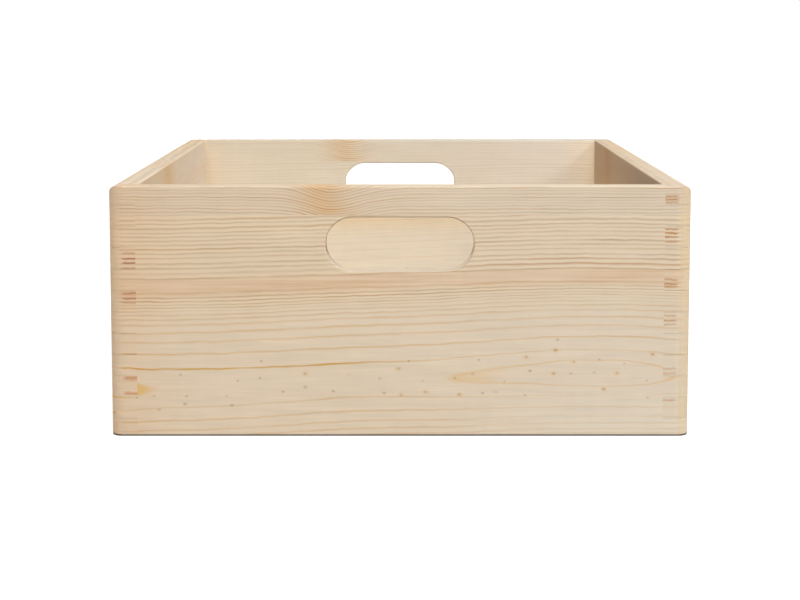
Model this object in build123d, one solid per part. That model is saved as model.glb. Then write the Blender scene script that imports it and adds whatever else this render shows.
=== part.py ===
import os

from build123d import *

# Crate size. X runs across the end boards, Y from hand hole to hand hole, and Z is up.
# The origin is on the floor, under the middle of the crate.
crate_width = 300.0
crate_length = 400.0
crate_height = 130.0
board_thickness = 14.0

# Box joints. Fingers are counted up one corner, and the gap is glue room at each finger flank.
finger_count = 12
end_finger_height = 9.4
finger_gap = 0.1

# Staves. Each board is glued up from a narrow top stave and a wide lower one.
top_stave = 14.6

# Hand holes in the two end boards, measured down from the rim.
hand_hole_width = 76.5
hand_hole_height = 28.0
hand_hole_drop = 16.0
hand_hole_ease = 0.8

# Base panel. It stands on the lower wall of a groove around the inside of the boards.
base_thickness = 4.0
base_lift = 4.0
groove_depth = 5.0
groove_top_gap = 0.2
groove_end_gap = 0.5

# Sanded edges of the glued-up crate.
corner_round = 8.0
side_rim_round = 4.0
end_rim_ease = 0.6
inner_rim_ease = 0.8
foot_ease = 1.2

standing = (Align.CENTER, Align.CENTER, Align.MIN)
inner_width = crate_width - 2 * board_thickness
inner_length = crate_length - 2 * board_thickness


def outside_block(edge_axis, top_round, bottom_round):
    """The crate's outside as one block, with its edges along one level axis rounded."""
    block = Box(crate_width, crate_length, crate_height, align=standing)
    block = fillet(block.edges().filter_by(edge_axis).group_by(Axis.Z)[-1], top_round)
    return fillet(block.edges().filter_by(edge_axis).group_by(Axis.Z)[0], bottom_round)


def sanded_walls():
    """All four walls in one, as they are once the crate is glued up and sanded."""
    outside = extrude(RectangleRounded(crate_width, crate_length, corner_round), crate_height)
    outside &= outside_block(Axis.Y, side_rim_round, foot_ease)
    outside &= outside_block(Axis.X, end_rim_ease, foot_ease)
    walls = outside - Box(inner_width, inner_length, crate_height, align=standing)
    rim = walls.faces().sort_by(Axis.Z)[-1].inner_wires()[0]
    return fillet(rim.edges(), inner_rim_ease)


def finger_levels():
    """Bottom and top of each finger, from the rim down."""
    inner_height = (crate_height - 2 * end_finger_height) / (finger_count - 2)
    first = crate_height - end_finger_height
    lines = [first - count * inner_height for count in range(finger_count - 1)]
    return zip(lines + [0.0], [crate_height] + lines)


def board_share(length, span):
    """The share of the walls that one board fills, for a board that faces -Y.

    Seen from outside, the board has a finger at the rim on its left end and a socket on its right.
    """
    outer_face = -span / 2
    share = Box(length, board_thickness, crate_height, align=(Align.CENTER, Align.MIN, Align.MIN))
    share = Pos(0, outer_face, 0) * share
    for count, (low, high) in enumerate(finger_levels()):
        end = -length / 2 if count % 2 else length / 2
        socket = Box(2 * board_thickness, 4 * board_thickness, high - low + finger_gap)
        share -= Pos(end, outer_face, (low + high) / 2) * socket
    return share


def cut_hand_hole(board):
    """A stadium-shaped hole through the end board that faces -Y, eased at both mouths."""
    middle = crate_height - hand_hole_drop - hand_hole_height / 2
    outline = Rot(90, 0, 0) * SlotOverall(hand_hole_width, hand_hole_height)
    hole = extrude(outline, 2 * board_thickness, both=True)
    board -= Pos(0, -crate_length / 2, middle) * hole
    faces = board.faces().filter_by(Axis.Y).sort_by(SortBy.AREA)[-2:]
    mouths = [edge for face in faces for wire in face.inner_wires() for edge in wire.edges()]
    return fillet(mouths, hand_hole_ease)


def base_shape(end_gap, top_gap):
    """The base panel, or its groove, by how far it falls short of the groove's ends and top."""
    reach = 2 * (groove_depth - end_gap)
    height = base_thickness + groove_top_gap - top_gap
    return Pos(0, 0, base_lift) * Box(inner_width + reach, inner_length + reach, height, align=standing)


def part_at_glue_line(board):
    """The board's top stave and the stave below it."""
    glue_line = crate_height - top_stave
    reach = 2 * (crate_width + crate_length)
    upper = Pos(0, 0, glue_line) * Box(reach, reach, top_stave, align=standing)
    lower = Box(reach, reach, glue_line, align=standing)
    return board & upper, board & lower


# The front and right boards. The back and left boards are the same boards turned half round.
walls = sanded_walls()
groove = base_shape(0.0, 0.0)
front_board = cut_hand_hole(walls & board_share(crate_width, crate_length)) - groove
right_board = (walls & (Rot(0, 0, 90) * board_share(crate_length, crate_width))) - groove

pieces = {"base_panel": base_shape(groove_end_gap, groove_top_gap)}
for place, opposite, board in (("front", "back", front_board), ("right", "left", right_board)):
    upper, lower = part_at_glue_line(board)
    pieces[f"{place}_top_stave"] = upper
    pieces[f"{place}_lower_stave"] = lower
    pieces[f"{opposite}_top_stave"] = Rot(0, 0, 180) * upper
    pieces[f"{opposite}_lower_stave"] = Rot(0, 0, 180) * lower

os.makedirs("parts", exist_ok=True)
for name, piece in pieces.items():
    piece.label = name
    export_step(piece, f"parts/{name}.step")
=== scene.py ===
import math

import bpy
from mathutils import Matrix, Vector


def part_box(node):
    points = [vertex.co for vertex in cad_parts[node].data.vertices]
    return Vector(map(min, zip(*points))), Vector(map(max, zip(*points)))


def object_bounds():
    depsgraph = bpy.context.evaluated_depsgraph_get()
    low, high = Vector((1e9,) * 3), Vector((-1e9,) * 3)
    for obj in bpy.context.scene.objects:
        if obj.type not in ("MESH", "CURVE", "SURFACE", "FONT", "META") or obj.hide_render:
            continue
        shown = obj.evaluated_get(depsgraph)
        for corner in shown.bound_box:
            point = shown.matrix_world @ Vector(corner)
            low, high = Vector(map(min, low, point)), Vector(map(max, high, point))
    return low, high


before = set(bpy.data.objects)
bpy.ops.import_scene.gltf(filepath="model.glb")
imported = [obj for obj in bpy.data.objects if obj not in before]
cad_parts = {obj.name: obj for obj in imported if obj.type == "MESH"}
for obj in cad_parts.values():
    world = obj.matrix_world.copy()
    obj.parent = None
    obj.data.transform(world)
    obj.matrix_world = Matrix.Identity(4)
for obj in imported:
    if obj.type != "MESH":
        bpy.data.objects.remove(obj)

cad_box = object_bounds()


# Lower staves of the two end boards.
# One wide stave of pine each, sawn beside the heart of the log and planed, with the hand hole
# routed through it and the fingers of the box joints cut on its ends. Bare wood, sanded.

def millimetres(metres):
    """A length of the frame in millimetres, in which the wood is worked out."""
    return round(1000 * metres, 2)


half_width, half_length = millimetres(cad_box[1][0]), millimetres(cad_box[1][1])
board_thickness = half_length + millimetres(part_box("front_lower_stave")[1][1])
inner_half_width, inner_half_length = half_width - board_thickness, half_length - board_thickness
corner_round = 8.0


def paint(red, green, blue):
    """A colour read off a chart, 0 to 255, as the light that Blender mixes."""
    parts = [value / 255 for value in (red, green, blue)]
    return [p / 12.92 if p <= 0.04045 else ((p + 0.055) / 1.055) ** 2.4 for p in parts] + [1.0]


def feed(tree, value, socket):
    """Links an output to a socket, or sets the socket to a plain value."""
    if isinstance(value, bpy.types.NodeSocket):
        tree.links.new(value, socket)
    else:
        socket.default_value = value


def maths(tree, operation, *values):
    node = tree.nodes.new("ShaderNodeMath")
    node.operation = operation
    for value, socket in zip(values, node.inputs):
        feed(tree, value, socket)
    return node.outputs[0]


def times(tree, first, *others):
    """The product of two values or more."""
    for other in others:
        first = maths(tree, "MULTIPLY", first, other)
    return first


def step(tree, value, low, high, at_low=0.0, at_high=1.0):
    """A soft step: at_low up to low, and at_high from high on."""
    node = tree.nodes.new("ShaderNodeMapRange")
    node.interpolation_type = "SMOOTHSTEP"
    for given, socket in zip((value, low, high, at_low, at_high), node.inputs):
        feed(tree, given, socket)
    return node.outputs[0]


def bell(tree, value, middle, width):
    """1 at the middle, falling away smoothly over the width on both sides."""
    off = maths(tree, "DIVIDE", maths(tree, "SUBTRACT", value, middle), width)
    return maths(tree, "EXPONENT", times(tree, off, off, -1.0))


def mix(tree, amount, first, second, way="MIX"):
    """A colour that goes from the first to the second."""
    node = tree.nodes.new("ShaderNodeMix")
    node.data_type = "RGBA"
    node.blend_type = way
    for value, socket in zip((amount, first, second), (node.inputs[0], node.inputs[6], node.inputs[7])):
        feed(tree, value, socket)
    return node.outputs[2]


def tint_or_shade(tree, amount, wood, stain):
    """Wood with some of a see-through tint over it, used both for real stains and for painted shade."""
    return mix(tree, amount, wood, mix(tree, 1.0, wood, stain, "MULTIPLY"))


def blend(tree, amount, first, second):
    """A value that goes from the first to the second."""
    node = tree.nodes.new("ShaderNodeMix")
    for value, socket in zip((amount, first, second), (node.inputs[0], node.inputs[2], node.inputs[3])):
        feed(tree, value, socket)
    return node.outputs[0]


def join(tree, *values):
    node = tree.nodes.new("ShaderNodeCombineXYZ")
    for value, socket in zip(values, node.inputs):
        feed(tree, value, socket)
    return node.outputs[0]


def noise(tree, place, waves, detail=2.0, seed=0.0):
    """Smooth noise from -0.5 to 0.5, by how many waves it has in a millimetre each way."""
    node = tree.nodes.new("ShaderNodeTexNoise")
    node.inputs["Scale"].default_value = 1.0
    node.inputs["Detail"].default_value = detail
    parts = [maths(tree, "MULTIPLY_ADD", value, count, seed) for value, count in zip(place, waves)]
    feed(tree, join(tree, *parts), node.inputs["Vector"])
    return maths(tree, "SUBTRACT", node.outputs["Fac"], 0.5)


def curve(tree, value, points):
    """Reads a smooth line drawn through a few points."""
    node = tree.nodes.new("ShaderNodeFloatCurve")
    left, right = points[0][0], points[-1][0]
    bottom, top = min(level for _, level in points), max(level for _, level in points)
    across, up = right - left, top - bottom
    scaled = [((place - left) / across, (level - bottom) / up) for place, level in points]
    drawn = node.mapping.curves[0].points
    drawn[0].location, drawn[1].location = scaled[0], scaled[-1]
    for place, level in scaled[1:-1]:
        drawn.new(place, level)
    node.mapping.update()
    feed(tree, maths(tree, "DIVIDE", maths(tree, "SUBTRACT", value, left), across), node.inputs["Value"])
    return maths(tree, "MULTIPLY_ADD", node.outputs[0], up, bottom)


def new_group(name, takes, gives):
    """An empty shader node group with named inputs and outputs."""
    group = bpy.data.node_groups.new(name, "ShaderNodeTree")
    for label, value in takes.items():
        kind = "NodeSocketColor" if isinstance(value, list) else "NodeSocketFloat"
        group.interface.new_socket(label, in_out="INPUT", socket_type=kind).default_value = value
    for label in gives:
        kind = "NodeSocketColor" if label == "Colour" else "NodeSocketFloat"
        group.interface.new_socket(label, in_out="OUTPUT", socket_type=kind)
    return group, group.nodes.new("NodeGroupInput").outputs, group.nodes.new("NodeGroupOutput").inputs


def use(tree, group, **values):
    """Puts a group into a tree and feeds its inputs by name, with spaces written as underscores."""
    node = tree.nodes.new("ShaderNodeGroup")
    node.node_tree = group
    for label, value in values.items():
        feed(tree, value, node.inputs[label.replace("_", " ")])
    return node.outputs


# Growth rings of a pine log. Along, depth and height are millimetres along the grain, into the board
# and up it. The heart is the log's middle line, and the push shifts the rings where a knot was.
usual_heart_height = 29.0
first_ring, warm_ring = 13.5, 60.8
rings, given, gives = new_group(
    "growth rings",
    {"Along": 0.0, "Depth": 0.0, "Height": 0.0, "Heart Depth": 5.0, "Heart Height": usual_heart_height,
     "Push": 0.0, "Wander": 1.0, "Growth": 1.0, "Seed": 0.0},
    ("Radius", "Late Wood"),
)
place = given["Along"], given["Depth"], given["Height"]
slow_sway, quick_sway = 3.0, 3.2
slow = noise(rings, place, (0.012, 0.02, 0.025), 1.0, given["Seed"])
quick = noise(rings, place, (0.08, 0.08, 0.14), 2.0, given["Seed"])
wander = maths(rings, "MULTIPLY_ADD", slow, slow_sway, times(rings, quick, quick_sway))
# Where the heart climbs or sinks, the rings high above it follow less.
drift = times(rings, maths(rings, "SUBTRACT", given["Heart Height"], usual_heart_height),
              step(rings, given["Height"], 50.0, 92.0, 1.0, 0.6))
rise = maths(rings, "SUBTRACT", maths(rings, "SUBTRACT", given["Height"], usual_heart_height), drift)
rise = maths(rings, "ADD", rise, maths(rings, "MULTIPLY_ADD", wander, given["Wander"], given["Push"]))
# Below the heart the rings stand closer.
crowding = -0.0057
below = maths(rings, "MINIMUM", rise, 0.0)
rise = maths(rings, "MULTIPLY_ADD", times(rings, below, below), crowding, rise)
away = maths(rings, "SUBTRACT", given["Depth"], given["Heart Depth"])
radius = maths(rings, "SQRT", maths(rings, "MULTIPLY_ADD", rise, rise, times(rings, away, away)))
# Years grown by each radius: wide rings at first, narrow and uneven ones after some forty millimetres.
years_by_radius = (
    (0, 0), (first_ring, 1), (17.2, 2), (22.8, 3), (28, 4), (32.3, 5), (36, 6), (38.5, 7), (42.5, 9),
    (46.9, 12), (50.9, 14), (57.5, 16), (89, 29.7), (197, 77),
)
most_uneven = 1.7
uneven = noise(rings, (radius,), (0.24,), 1.0, given["Seed"])
read_at = maths(rings, "MULTIPLY_ADD", uneven, step(rings, radius, 38.0, 50.0, 0.0, most_uneven), radius)
years = times(rings, curve(rings, read_at, years_by_radius), given["Growth"])
# Late wood darkens slowly towards the end of the year and fades quickly after it.
year_end = 0.5
part = maths(rings, "FRACT", maths(rings, "ADD", years, year_end))
width = maths(rings, "ADD", step(rings, radius, 13.6, 16.5, 0.022, 0.055),
              step(rings, radius, 18.0, 44.0, 0.0, 0.13))
width = times(rings, width, step(rings, part, year_end - 0.08, year_end + 0.08, 1.25, 0.8))
line = bell(rings, part, year_end, width)
# Some years show more than others, and a line comes and goes along its length.
weakest, range_of_luck = 0.35, 0.45
year = maths(rings, "ADD", maths(rings, "ROUND", years), given["Seed"])
luck = rings.nodes.new("ShaderNodeTexWhiteNoise")
luck.noise_dimensions = "1D"
feed(rings, year, luck.inputs["W"])
strength = maths(rings, "MULTIPLY_ADD", luck.outputs["Value"], range_of_luck, weakest)
patchy = noise(rings, (given["Along"], year, given["Depth"]), (0.035, 3.7, 0.03), 3.0)
patchy = maths(rings, "MULTIPLY_ADD", patchy, 2.0, 1.0)
upper = step(rings, rise, 0.0, 4.0)
leftward = step(rings, given["Along"], -60.0, 20.0, 1.0, 0.0)
rightward = step(rings, given["Along"], 5.0, 60.0)
inner_right = times(rings, rightward, step(rings, radius, 40.0, 50.0, -0.12, 0.0))
low_right = times(rings, rightward, step(rings, rise, -14.0, -4.0, 1.0, 0.0))
strength = times(rings, strength, patchy, step(rings, radius, 34.0, 52.0, 0.62, 1.0),
                 maths(rings, "ADD", inner_right, 1.0), maths(rings, "MULTIPLY_ADD", low_right, -0.4, 1.0))
# Years at a few radii that stand out, or hardly show.
for middle, reach, more in (
    (17.0, 1.2, times(rings, upper, leftward, patchy, 0.75)),
    (47.6, 1.7, step(rings, given["Along"], 20.0, 90.0, 0.3, 0.18)),
    (53.5, 3.4, -0.2),
    (warm_ring, 2.6, times(rings, rightward, 0.34)),
):
    strength = maths(rings, "MULTIPLY_ADD", bell(rings, radius, middle, reach), more, strength)
strength = maths(rings, "MAXIMUM", strength, 0.0)
feed(rings, radius, gives["Radius"])
feed(rings, times(rings, line, strength), gives["Late Wood"])

# Needle traces: small brown specks near the heart where the young tree's needles stood, some of them
# with a little resin round them.
needle_spacing = 9.5
specks, given, gives = new_group(
    "needle traces", {"Along": 0.0, "Height": 0.0, "Radius": 0.0, "Seed": 0.0}, ("Speck", "Halo")
)
cells = specks.nodes.new("ShaderNodeTexVoronoi")
cells.voronoi_dimensions = "2D"
cells.inputs["Scale"].default_value = 1 / needle_spacing
cells.inputs["Randomness"].default_value = 0.85
spot = join(specks, maths(specks, "MULTIPLY_ADD", given["Along"], 0.75, given["Seed"]), given["Height"])
feed(specks, spot, cells.inputs["Vector"])
chance = specks.nodes.new("ShaderNodeSeparateColor")
feed(specks, cells.outputs["Color"], chance.inputs[0])
kept_chance, size_chance, resin_chance = chance.outputs
far = times(specks, cells.outputs["Distance"], needle_spacing)
# Fewer of them away from the heart, and a little fewer towards the left.
fewer = maths(specks, "ADD", step(specks, given["Radius"], 12.0, 24.0, 0.15, 1.0),
              step(specks, given["Along"], -20.0, 40.0, 0.1, 0.0))
kept = maths(specks, "GREATER_THAN", kept_chance, fewer)
smallest, range_of_size = 0.7, 0.65
size = maths(specks, "MULTIPLY_ADD", size_chance, range_of_size, smallest)
speck = times(specks, step(specks, far, 0.0, size, 1.0, 0.0), kept,
              step(specks, kept_chance, 0.0, 1.0, 0.35, 1.0))
resinous = maths(specks, "GREATER_THAN", resin_chance, 0.65)
halo = times(specks, step(specks, far, 0.4, 2.2, 1.0, 0.0), resinous)
feed(specks, speck, gives["Speck"])
feed(specks, times(specks, halo, kept), gives["Halo"])

# The colours of planed pine: pale early wood, darker late wood, a pink band of slow years, reddish
# lines on the end grain, painted shade on the rounded corners and a painted contact shadow on the foot.
pine, given, gives = new_group(
    "pine colours",
    {"Along": 0.0, "Depth": 0.0, "Height": 0.0, "Radius": 0.0, "Late Wood": 0.0, "Contrast": 1.0,
     "End Lines": 0.0, "Corner": 0.0, "Foot": 0.0, "Seed": 0.0,
     "Heart Wood": paint(226, 210, 189), "Outer Wood": paint(226, 207, 181),
     "Corner Wood": paint(255, 240, 226)},
    ("Colour", "Fibre"),
)
place = given["Along"], given["Depth"], given["Height"]
grey_brown, orange_brown, honey = paint(187, 164, 135), paint(200, 161, 114), paint(208, 163, 80)
outer = step(pine, given["Radius"], 32.0, 52.0)
early = mix(pine, outer, given["Heart Wood"], given["Outer Wood"])
hue = noise(pine, (given["Along"], given["Radius"]), (0.01, 0.35), 1.0, given["Seed"])
browns = mix(pine, maths(pine, "MULTIPLY_ADD", hue, 2.0, 0.5), grey_brown, orange_brown)
late = mix(pine, outer, honey, browns)
# The pink band, with fine threads in it.
pale_pink, deep_pink, pink_line = paint(228, 204, 177), paint(215, 183, 148), paint(208, 173, 137)
band_start, band_end = (47.5, 51.0), (56.0, 58.5)
band = times(pine, step(pine, given["Radius"], *band_start),
             step(pine, given["Radius"], *band_end, 1.0, 0.0))
cloud = noise(pine, place, (0.012, 0.05, 0.08), 2.0, given["Seed"])
band = times(pine, band, given["Contrast"], maths(pine, "MULTIPLY_ADD", cloud, 1.0, 0.85))
threads = noise(pine, place, (0.014, 0.7, 0.7), 3.0, given["Seed"])
pinks = mix(pine, maths(pine, "MULTIPLY_ADD", threads, 3.0, 0.35), pale_pink, deep_pink)
early = mix(pine, band, early, pinks)
late = mix(pine, band, late, pink_line)
# One warm brown year right of the middle.
warm_brown = paint(186, 133, 83)
warm_year = times(pine, bell(pine, given["Radius"], warm_ring, 2.0), step(pine, given["Along"], 5.0, 60.0))
late = mix(pine, warm_year, late, warm_brown)
wood = mix(pine, times(pine, given["Late Wood"], given["Contrast"]), early, late)
# Stains over it: a tinge towards the left, the end grain with its red lines and warm clouds; then painted
# shade on the corners and a painted contact shadow on the foot.
left_tinge, end_grain_stain, cloud_tinge = paint(255, 251, 245), paint(244, 230, 212), paint(253, 246, 239)
red_line, painted_foot_shadow = paint(170, 110, 80), paint(52, 33, 15)
leftward = step(pine, given["Along"], -half_width, half_width, 1.0, 0.0)
wood = tint_or_shade(pine, leftward, wood, left_tinge)
wood = tint_or_shade(pine, given["End Lines"], wood, end_grain_stain)
wood = mix(pine, times(pine, given["Late Wood"], given["End Lines"]), wood, red_line)
warmth = maths(pine, "MULTIPLY_ADD", cloud, 0.6, 0.12)
wood = tint_or_shade(pine, warmth, wood, cloud_tinge)
# Painted shade on the rounded corners.
wood = tint_or_shade(pine, times(pine, given["Corner"], 0.7), wood, given["Corner Wood"])
# Painted contact shadow on the eased foot.
wood = mix(pine, times(pine, given["Foot"], 0.95), wood, painted_foot_shadow)
# Lighter and darker by blotches, mottling, streaks and single fibres, the last two more near the heart.
blotch = noise(pine, place, (0.012, 0.03, 0.03), 3.0, given["Seed"])
mottle = noise(pine, place, (0.11, 0.09, 0.09), 2.0, given["Seed"])
streak = noise(pine, place, (0.025, 0.45, 0.45), 3.0, given["Seed"])
fibre = noise(pine, place, (0.03, 1.6, 1.6), 3.0, given["Seed"])
shade = 1.0
for unevenness, amount in (
    (blotch, 0.08),
    (mottle, 0.065),
    (streak, step(pine, given["Radius"], 25.0, 40.0, 0.19, 0.11)),
    (fibre, step(pine, given["Radius"], 25.0, 40.0, 0.15, 0.1)),
):
    shade = maths(pine, "MULTIPLY_ADD", unevenness, amount, shade)
feed(pine, mix(pine, 1.0, wood, join(pine, shade, shade, shade), "MULTIPLY"), gives["Colour"])
feed(pine, fibre, gives["Fibre"])


def board(tree, turn, shift):
    """Millimetres along, into and up a board, and how its surface faces across, along and up the crate."""
    where = tree.nodes.new("ShaderNodeTexCoord")
    mapping = tree.nodes.new("ShaderNodeMapping")
    mapping.inputs["Scale"].default_value = (1000, 1000, 1000)
    mapping.inputs["Rotation"].default_value = (0, 0, math.radians(turn))
    mapping.inputs["Location"].default_value = (0, shift, 0)
    feed(tree, where.outputs["Object"], mapping.inputs["Vector"])
    place = tree.nodes.new("ShaderNodeSeparateXYZ")
    feed(tree, mapping.outputs[0], place.inputs[0])
    faces = tree.nodes.new("ShaderNodeSeparateXYZ")
    feed(tree, where.outputs["Normal"], faces.inputs[0])
    return *place.outputs, list(faces.outputs)


def either_way(tree, value):
    """A value without its sign."""
    return maths(tree, "ABSOLUTE", value)


def facing(tree, side, turned_away=0.0, towards=1.0):
    """One value where the surface faces this way, and another where it is turned away."""
    return step(tree, side, 0.3, 0.9, turned_away, towards)


def by_face(tree, inward, upward, outside, inside, rim):
    """Painted light and shade: wood toned by where it faces, out of the crate, into it, or up at the rim.
    """
    wood = mix(tree, facing(tree, inward), outside, inside)
    return mix(tree, facing(tree, upward), wood, rim)


def eased(tree, *sides):
    """1 on a rounded edge, and 0 where a surface faces one of these ways squarely."""
    squarest = 0.0
    for side in sides:
        squarest = maths(tree, "MAXIMUM", squarest, either_way(tree, side))
    return step(tree, squarest, 0.94, 0.995, 1.0, 0.0)


def rounded_corner(tree, along, faces):
    """The rounded corners at both ends of a board, well past the hand hole."""
    upright = step(tree, either_way(tree, faces[2]), 0.1, 0.4, 1.0, 0.0)
    near_end = step(tree, either_way(tree, along), half_width - 30.0, half_width - 20.0)
    return times(tree, eased(tree, faces[0], faces[1]), upright, near_end)


def follow_corner(tree, along, depth, outward):
    """Depth measured from the rounded corners, so that the ring lines run on round them."""
    past = maths(tree, "SUBTRACT", either_way(tree, along), half_width - corner_round)
    past = maths(tree, "MAXIMUM", past, 0.0)
    left = maths(tree, "SQRT", maths(tree, "SUBTRACT", corner_round ** 2, times(tree, past, past)))
    return maths(tree, "MULTIPLY_ADD", maths(tree, "SUBTRACT", corner_round, left), outward, depth)


def lines_left(tree, rounding):
    """How much of the ring lines is left where a corner was sanded round."""
    return maths(tree, "MULTIPLY_ADD", rounding, -0.6, 1.0)


def eased_foot(tree, height, faces):
    """The eased edge a board stands on, where a contact shadow is painted."""
    return times(tree, step(tree, faces[2], -0.999, -0.97), step(tree, height, 0.5, 1.3, 1.0, 0.0))


def end_lines(tree, faces):
    """How strongly the rings show red on the ends of an end board's fingers."""
    return step(tree, either_way(tree, faces[0]), 0.9, 0.999, 0.0, 0.6)


def corner_shade_amount(tree, along, rounding):
    """How much painted shade the rounded corners have, and the left-hand end of an end board beside its
    corner.
    """
    corner = times(tree, rounding, step(tree, along, -half_width / 3, half_width / 3, 1.0, 0.8))
    left_end = step(tree, along, 4.0 - half_width, 42.0 - half_width, 0.65, 0.0)
    return maths(tree, "MAXIMUM", corner, left_end)


def corner_shade_colour(tree, along):
    """The painted shade on an end board's corners, by which end of the board they are at."""
    return mix(tree, step(tree, along, -half_width / 3, half_width / 3), left_corner_shade, right_corner_shade)


def inside_tone(tree, along, build):
    """The painted light and shade on the inside of an end board, from its left-hand end to the nook beside
    the right-hand board.
    """
    inside = mix(tree, step(tree, along, -60.0, 140.0), build["inside"], build["right inside"])
    in_nook = step(tree, along, inner_half_width - 30.0, inner_half_width)
    return mix(tree, in_nook, inside, build["nook"])


def bare_wood(tree, colour, late_wood, fibre):
    """A dull sanded surface, with the late wood and the fibres standing up a little."""
    early_roughness, late_change = 0.68, -0.12
    bump = tree.nodes.new("ShaderNodeBump")
    bump.inputs["Strength"].default_value = 0.2
    bump.inputs["Distance"].default_value = 0.0001
    feed(tree, maths(tree, "MULTIPLY_ADD", late_wood, 0.4, fibre), bump.inputs["Height"])
    shader = tree.nodes["Principled BSDF"]
    shader.inputs["Specular IOR Level"].default_value = 0.3
    feed(tree, colour, shader.inputs["Base Color"])
    roughness = maths(tree, "MULTIPLY_ADD", late_wood, late_change, early_roughness)
    feed(tree, roughness, shader.inputs["Roughness"])
    feed(tree, bump.outputs[0], shader.inputs["Normal"])


def new_wood(name):
    wood = bpy.data.materials.new(name)
    wood.use_nodes = True
    return wood, wood.node_tree


def dress(node, wood):
    """Gives a CAD piece its finish."""
    for material_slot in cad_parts[node].material_slots:
        material_slot.material = wood


# Painted shade for the rounded corners at the left-hand and the right-hand end.
left_corner_shade, right_corner_shade = paint(255, 240, 226), paint(242, 231, 209)
# The last of these is painted light for the faces that look up, such as the floor of the hand hole.
heart_wood, outer_wood, painted_upward_light = paint(226, 210, 188), paint(227, 209, 183), paint(246, 233, 214)
# The last of these is painted shade for the lips of the hand hole.
resin, needle_brown, painted_lip_shade = paint(226, 180, 100), paint(142, 98, 42), paint(214, 206, 197)
pale_heart, warm_inside = paint(229, 215, 195), paint(225, 209, 180)
lower_seed, lower_wander, needle_seed = 3.0, 0.45, 4.0
hole_side, hole_foot = 45.0, 75.0
# Depth is measured inwards from the front board's outer face, and outwards from the back board's inner one.
# The inside, nook and rim tones are painted light and shade; the back board's inside is painted lighter
# towards the nook.
end_boards = {
    "front": {"shift": half_length, "outward": -1.0, "inner contrast": 1.0, "top seed": 11.0,
              "inside": paint(226, 209, 186), "right inside": paint(226, 209, 186),
              "nook": paint(226, 209, 186), "rim": paint(219, 203, 181)},
    "back": {"shift": -inner_half_length, "outward": 1.0, "inner contrast": 0.32, "top seed": 12.0,
             "inside": paint(221, 215, 200), "right inside": paint(231, 222, 207),
             "nook": paint(243, 230, 206), "rim": paint(216, 206, 193)},
}
# The heart of the log runs just outside the board, and comes nearest right of the middle.
heart_depths = (
    (-half_width, -12.5), (-138, -13.0), (-129, -13.5), (-103, -13.9), (-62, -14.3), (-30, -14.5),
    (0, -14.3), (26, -13.55), (67, -12.5), (103, -11.5), (124, -12.1), (141, -13.4), (half_width, -13.9),
)
heart_heights = (
    (-half_width, 24.3), (-103, 25.2), (-62, 27.1), (-26, 29.0), (26, 30.5), (67, 32.5), (90, 33.0),
    (half_width, 32.2),
)
for end, build in end_boards.items():
    wood, tree = new_wood(f"pine of {end}_lower_stave")
    along, depth, height, faces = board(tree, 0, build["shift"])
    depth = follow_corner(tree, along, depth, build["outward"])
    inward = times(tree, faces[1], -build["outward"])
    upward = times(tree, faces[2], 1.6)
    rounding = rounded_corner(tree, along, faces)
    ring = use(tree, rings, Along=along, Depth=depth, Height=height,
               Heart_Depth=curve(tree, along, heart_depths), Heart_Height=curve(tree, along, heart_heights),
               Wander=lower_wander, Seed=lower_seed)
    low_right = times(tree, step(tree, along, 20.0, 110.0), step(tree, height, 10.0, 34.0, 1.0, 0.0))
    outside_heart = mix(tree, low_right, heart_wood, pale_heart)
    warm_streak = times(tree, bell(tree, height, 76.0, 9.0), 0.8)
    inside = mix(tree, warm_streak, inside_tone(tree, along, build), warm_inside)
    contrast = blend(tree, facing(tree, inward), 1.0, build["inner contrast"])
    colours = use(tree, pine, Along=along, Depth=depth, Height=height, Radius=ring["Radius"],
                  Late_Wood=ring["Late Wood"], Contrast=times(tree, contrast, lines_left(tree, rounding)),
                  End_Lines=end_lines(tree, faces), Corner=corner_shade_amount(tree, along, rounding),
                  Corner_Wood=corner_shade_colour(tree, along), Foot=eased_foot(tree, height, faces),
                  Seed=lower_seed,
                  Heart_Wood=by_face(tree, inward, upward, outside_heart, inside, painted_upward_light),
                  Outer_Wood=by_face(tree, inward, upward, outer_wood, inside, painted_upward_light))
    # Painted shade on the lips of the hand hole, darker along the top and the bottom.
    near_hole = times(tree, step(tree, either_way(tree, along), hole_side, hole_side + 5.0, 1.0, 0.0),
                      step(tree, height, hole_foot, hole_foot + 5.0),
                      step(tree, either_way(tree, faces[1]), 0.05, 0.25))
    lip_shade_mask = times(tree, eased(tree, *faces), near_hole, step(tree, either_way(tree, faces[2]), 0.1, 0.6))
    colour = tint_or_shade(tree, lip_shade_mask, colours["Colour"], painted_lip_shade)
    # Resin in the tips and along the edge of the innermost ring, and round some of the needle traces.
    innermost = step(tree, ring["Radius"], first_ring - 0.2, first_ring + 0.2, 1.0, 0.0)
    tips = step(tree, along, -132.0, -126.0, 2.0, 0.0)
    tips = maths(tree, "MULTIPLY_ADD", bell(tree, along, 38.0, 14.0), 0.75, tips)
    towards_edge = step(tree, ring["Radius"], first_ring - 0.9, first_ring - 0.2, 0.1, 0.4)
    tips = times(tree, innermost, tips, towards_edge)
    ring_edge = times(tree, bell(tree, ring["Radius"], first_ring, 0.2),
                      step(tree, along, 18.0, 30.0, 0.0, 0.3))
    trace = use(tree, specks, Along=along, Height=height, Radius=ring["Radius"], Seed=needle_seed)
    halo = times(tree, trace["Halo"], 0.3)
    soaked = maths(tree, "MAXIMUM", maths(tree, "MAXIMUM", tips, ring_edge), halo)
    colour = mix(tree, soaked, colour, resin)
    colour = mix(tree, times(tree, trace["Speck"], 0.5), colour, needle_brown)
    bare_wood(tree, colour, ring["Late Wood"], colours["Fibre"])
    dress(f"{end}_lower_stave", wood)


# Top staves of the two end boards.
# A narrow stave of closer-grown pine, glued on edge to the wide one and planed level with the rim.
# A knot was cut away above it, left of the middle, and the grain dips round the place.

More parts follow.
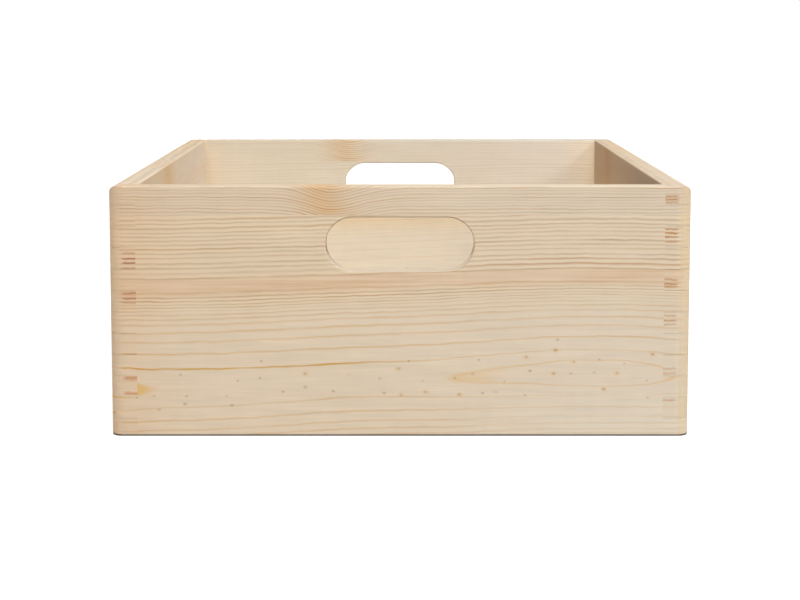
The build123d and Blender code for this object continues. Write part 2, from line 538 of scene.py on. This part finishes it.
knot, given, gives = new_group(
    "cut knot", {"Along": 0.0, "Height": 0.0, "Place": 0.0, "Spread": 12.0}, ("Push", "Tint")
)
offset = maths(knot, "SUBTRACT", given["Along"], given["Place"])
dip = bell(knot, offset, 0.0, step(knot, offset, -8.0, 8.0, 15.0, 21.0))
lean = step(knot, given["Height"], 114.0, 128.0, -1.0, -6.0)
feed(knot, times(knot, dip, step(knot, given["Height"], 106.0, 126.0, 4.5, 7.0)), gives["Push"])
feed(knot, bell(knot, offset, lean, given["Spread"]), gives["Tint"])


def knotty(tree, colour, tint):
    """Orange wood beside a cut knot."""
    return tint_or_shade(tree, times(tree, tint, 0.9), colour, paint(252, 234, 208))


top_wood = paint(223, 206, 184)
end_knot = -35.5
top_heart_depth, top_wander, top_growth = -25.0, 0.4, 1.5
for end, build in end_boards.items():
    wood, tree = new_wood(f"pine of {end}_top_stave")
    along, depth, height, faces = board(tree, 0, build["shift"])
    depth = follow_corner(tree, along, depth, build["outward"])
    inward = times(tree, faces[1], -build["outward"])
    rounding = rounded_corner(tree, along, faces)
    cut = use(tree, knot, Along=along, Height=height, Place=end_knot)
    ring = use(tree, rings, Along=along, Depth=depth, Height=height, Heart_Depth=top_heart_depth,
               Push=cut["Push"], Wander=top_wander, Growth=top_growth, Seed=build["top seed"])
    stave_wood = by_face(tree, inward, faces[2], top_wood, inside_tone(tree, along, build), build["rim"])
    # The ring lines are clearest beside the knot.
    near_knot = bell(tree, along, end_knot - 0.5, 18.0)
    on_inside = facing(tree, inward)
    inner_contrast = maths(tree, "MULTIPLY_ADD", near_knot, 0.5, build["inner contrast"])
    contrast = times(tree, maths(tree, "MULTIPLY_ADD", near_knot, 0.6, 0.95), lines_left(tree, rounding),
                     blend(tree, on_inside, 1.0, inner_contrast))
    colours = use(tree, pine, Along=along, Depth=depth, Height=height, Radius=ring["Radius"],
                  Late_Wood=ring["Late Wood"], Contrast=contrast, End_Lines=end_lines(tree, faces),
                  Corner=corner_shade_amount(tree, along, rounding), Corner_Wood=corner_shade_colour(tree, along),
                  Seed=build["top seed"], Heart_Wood=stave_wood, Outer_Wood=stave_wood)
    tint = times(tree, cut["Tint"], blend(tree, on_inside, 1.0, 0.75))
    bare_wood(tree, knotty(tree, colours["Colour"], tint), ring["Late Wood"], colours["Fibre"])
    dress(f"{end}_top_stave", wood)


# Side boards.
# The same pine as the ends, a narrow stave over a wide one, box-jointed and glued to the end boards.
# The ends of their fingers carry the ring lines level with those of the end board, some of them red.

glue_line = millimetres(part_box("right_top_stave")[0][2])
finger_middle = half_width - board_thickness / 2
low_dash = paint(198, 128, 72)
dash_width = 0.48
# An end heart is where the front board's heart lies at that end. A dash is its height and its strength.
# The inside and rim tones are painted shade and light, and the corner colour and its amounts give painted
# shade on the rounded corner and the finger ends.
side_boards = {
    "right": {
        "turn": 90, "into": -1.0, "seed": 23.0, "push": -20.0, "knot": -92.0, "knot spread": 20.0,
        "near inside": paint(200, 173, 147), "far inside": paint(211, 187, 159),
        "near rim": paint(210, 193, 170), "far rim": paint(221, 203, 178),
        "end along": finger_middle, "end heart depth": -13.6, "end heart height": 32.2,
        "corner": right_corner_shade, "corner shade": 0.8, "end shade": 0.0, "dash": paint(192, 137, 86),
        "dashes": (
            (125.0, 0.8), (123.2, 1.0), (121.7, 0.7), (108.0, 0.9), (106.0, 1.0), (104.0, 1.0),
            (101.6, 0.7), (82.0, 0.7), (79.6, 1.0), (78.2, 0.8), (63.1, 0.6), (60.5, 0.8), (58.5, 0.6),
            (35.5, 0.45), (33.0, 0.45), (19.0, 0.55),
        ),
    },
    "left": {
        "turn": -90, "into": 1.0, "seed": 31.0, "push": -30.0, "knot": -40.0, "knot spread": 26.0,
        "near inside": paint(222, 204, 178), "far inside": paint(221, 208, 190),
        "near rim": paint(223, 209, 190), "far rim": paint(233, 209, 175),
        "end along": -finger_middle, "end heart depth": -12.7, "end heart height": 24.3,
        "corner": left_corner_shade, "corner shade": 1.0, "end shade": 0.75, "dash": paint(178, 112, 88),
        "dashes": (
            (95.6, 0.5), (92.7, 1.0), (90.5, 1.0), (87.9, 0.5), (76.5, 0.4), (74.5, 0.8), (72.0, 0.8),
            (69.8, 0.4), (43.0, 0.35), (31.7, 0.55), (30.6, 0.85), (29.6, 0.5), (23.0, 0.45), (22.1, 0.75),
        ),
    },
}
for side, build in side_boards.items():
    for stave in ("lower", "top"):
        wood, tree = new_wood(f"pine of {side}_{stave}_stave")
        along, depth, height, faces = board(tree, build["turn"], -inner_half_width)
        end_grain = either_way(tree, faces[1])
        on_end = step(tree, end_grain, 0.6, 0.95)
        inward = times(tree, faces[0], build["into"])
        cut = use(tree, knot, Along=along, Height=height, Place=build["knot"], Spread=build["knot spread"])
        if stave == "lower":
            # The heart leans through the board, so that the rings come out as long arches.
            heart_depth = maths(tree, "MULTIPLY_ADD", along, 0.03, -8.0)
            ring = use(tree, rings, Along=along, Depth=depth, Height=height, Heart_Depth=heart_depth,
                       Push=build["push"], Wander=0.4, Seed=build["seed"])
            end_ring = use(tree, rings, Along=build["end along"], Height=height,
                           Heart_Depth=build["end heart depth"], Heart_Height=build["end heart height"],
                           Wander=lower_wander, Seed=lower_seed)
            front_woods = heart_wood, outer_wood
        else:
            ring = use(tree, rings, Along=along, Depth=depth, Height=height, Heart_Depth=top_heart_depth,
                       Push=cut["Push"], Wander=top_wander, Growth=top_growth, Seed=build["seed"])
            end_ring = use(tree, rings, Along=build["end along"], Height=height,
                           Heart_Depth=top_heart_depth, Wander=top_wander, Growth=top_growth,
                           Seed=end_boards["front"]["top seed"])
            front_woods = top_wood, top_wood
        # The insides and rims carry painted shade and light, and change a little from the front of the
        # crate to the back.
        backward = times(tree, along, build["into"])
        inside = mix(tree, step(tree, backward, -140.0, 120.0), build["near inside"], build["far inside"])
        rim = mix(tree, step(tree, backward, -120.0, 170.0), build["near rim"], build["far rim"])
        heart, outer = [mix(tree, on_end, by_face(tree, inward, faces[2], plain, inside, rim), plain)
                        for plain in front_woods]
        late_wood = blend(tree, on_end, ring["Late Wood"], end_ring["Late Wood"])
        rounding = rounded_corner(tree, along, faces)
        # Painted shade on the rounded corner, and on the finger ends of the left-hand board.
        corner = maths(tree, "MAXIMUM", times(tree, rounding, build["corner shade"]),
                       times(tree, on_end, build["end shade"]))
        contrast = times(tree, facing(tree, inward, 1.0, 0.4), facing(tree, faces[2], 1.0, 0.7),
                         lines_left(tree, rounding))
        colours = use(tree, pine, Along=along, Depth=blend(tree, on_end, depth, 0.0), Height=height,
                      Radius=blend(tree, on_end, ring["Radius"], end_ring["Radius"]), Late_Wood=late_wood,
                      Contrast=contrast, Corner=corner, Corner_Wood=build["corner"],
                      Foot=eased_foot(tree, height, faces), Seed=build["seed"],
                      Heart_Wood=heart, Outer_Wood=outer)
        # The knot's tint fades below the glue line and hardly shows on the rim.
        tint = times(tree, cut["Tint"], step(tree, height, 88.0, 112.0), facing(tree, faces[2], 1.0, 0.35))
        colour = knotty(tree, colours["Colour"], tint)
        # Reddish dashes on the finger ends, in the half towards the inside of the crate.
        sway = noise(tree, (depth, height), (0.3, 0.25), 2.0, build["seed"])
        wavy = maths(tree, "MULTIPLY_ADD", sway, 1.6, height)
        marks = 0.0
        for level, strength in build["dashes"]:
            if (level > glue_line) == (stave == "top"):
                marks = maths(tree, "MULTIPLY_ADD", bell(tree, wavy, level, dash_width), strength, marks)
        reach = times(tree, step(tree, end_grain, 0.97, 0.999), step(tree, depth, 5.0, 8.5, 1.0, 0.0))
        red = mix(tree, step(tree, height, 36.0, 50.0), low_dash, build["dash"])
        colour = mix(tree, times(tree, reach, marks), colour, red)
        bare_wood(tree, colour, late_wood, colours["Fibre"])
        dress(f"{side}_{stave}_stave", wood)


# Base panel.
# A thin sheet of plywood, peeled from the log so its grain shows as wide flames. It was dropped into
# a groove round the inside of the boards as they were glued up.

veneer_seed = 71.0
wood, tree = new_wood("plywood of base_panel")
along, across, *_ = board(tree, 90, 0)
flames = noise(tree, (along, across), (0.0045, 0.02), 2.0, veneer_seed)
peeled_height = maths(tree, "MULTIPLY_ADD", flames, 60.0, 100.0)
ring = use(tree, rings, Along=along, Height=peeled_height, Wander=0.3, Seed=veneer_seed)
colours = use(tree, pine, Along=along, Depth=across, Height=50.0, Radius=70.0, Late_Wood=ring["Late Wood"],
              Contrast=0.5, Seed=veneer_seed, Outer_Wood=paint(230, 217, 198))
bare_wood(tree, colours["Colour"], ring["Late Wood"], colours["Fibre"])
dress("base_panel", wood)


# Floor, light and camera.
# A white floor in a white room, a large soft lamp in front, a smaller one from the right, a weak one low
# on the left, a long low one behind, and a camera that looks at the hand hole a little from above.

def seen_straight(tree):
    """1 for what the camera sees straight, mirrored or through glass, and 0 for the light on the crate."""
    path = tree.nodes.new("ShaderNodeLightPath")
    seen = maths(tree, "MAXIMUM", path.outputs["Is Camera Ray"], path.outputs["Is Glossy Ray"])
    return maths(tree, "MAXIMUM", seen, path.outputs["Is Transmission Ray"])


white = bpy.data.materials.new("white floor")
white.use_nodes = True
tree = white.node_tree
tree.nodes.remove(tree.nodes["Principled BSDF"])
paper = tree.nodes.new("ShaderNodeBsdfDiffuse")
paper.inputs["Color"].default_value = (0.45, 0.45, 0.45, 1)
where = tree.nodes.new("ShaderNodeTexCoord")
from_crate = tree.nodes.new("ShaderNodeVectorMath")
from_crate.operation = "LENGTH"
feed(tree, where.outputs["Object"], from_crate.inputs[0])
near_glow, far_glow = 0.8, 0.96
glow = tree.nodes.new("ShaderNodeEmission")
glow_strength = step(tree, from_crate.outputs["Value"], 0.3, 1.0, near_glow, far_glow)
feed(tree, times(tree, seen_straight(tree), glow_strength), glow.inputs["Strength"])
both = tree.nodes.new("ShaderNodeAddShader")
feed(tree, paper.outputs[0], both.inputs[0])
feed(tree, glow.outputs[0], both.inputs[1])
feed(tree, both.outputs[0], tree.nodes["Material Output"].inputs["Surface"])

floor_side, floor_front, floor_back, floor_level = 30, -30, 60, -1e-4
floor_corners = [
    (across, along, floor_level)
    for across, along in ((-floor_side, floor_front), (floor_side, floor_front), (floor_side, floor_back),
                          (-floor_side, floor_back))
]
floor_mesh = bpy.data.meshes.new("floor")
floor_mesh.from_pydata(floor_corners, [], [(0, 1, 2, 3)])
floor_mesh.materials.append(white)
floor = bpy.data.objects.new("floor", floor_mesh)
bpy.context.scene.collection.objects.link(floor)

room_light = 0.12
room = bpy.data.worlds.new("white room")
room.use_nodes = True
tree = room.node_tree
background = tree.nodes["Background"]
background.inputs["Color"].default_value = (1, 1, 1, 1)
feed(tree, maths(tree, "MULTIPLY_ADD", seen_straight(tree), 1 - room_light, room_light),
     background.inputs["Strength"])
bpy.context.scene.world = room

for name, spot, size, power, seen_in_gloss in (
    ("front lamp", (0.0, -1.6, 1.5), (1.2, 1.2), 33.2, True),
    ("right lamp", (1.6, -0.3, 1.55), (0.8, 0.8), 30.0, True),
    ("left lamp", (-1.8, -0.35, 0.1), (0.2, 0.2), 3.5, False),
    ("back lamp", (-1.1, 2.3, 0.09), (3.2, 0.16), 52.0, False),
):
    lamp = bpy.data.lights.new(name, "AREA")
    lamp.shape = "ELLIPSE"
    lamp.size, lamp.size_y = size
    lamp.energy = power
    lamp_object = bpy.data.objects.new(name, lamp)
    lamp_object.location = spot
    lamp_object.rotation_euler = (-lamp_object.location).to_track_quat("-Z", "Y").to_euler()
    lamp_object.visible_glossy = seen_in_gloss
    bpy.context.scene.collection.objects.link(lamp_object)

camera_distance, camera_height, camera_dip = 1.24482, 0.21765, 6.629
camera = bpy.data.cameras.new("camera")
camera.lens = 92.16
camera.sensor_width = 36.0
camera.shift_y = -0.06
camera_object = bpy.data.objects.new("camera", camera)
camera_object.location = (0.0, -camera_distance, camera_height)
camera_object.rotation_euler = (math.radians(90 - camera_dip), 0.0, 0.0)
bpy.context.scene.collection.objects.link(camera_object)
bpy.context.scene.camera = camera_object
bpy.context.scene.view_settings.view_transform = "Standard"
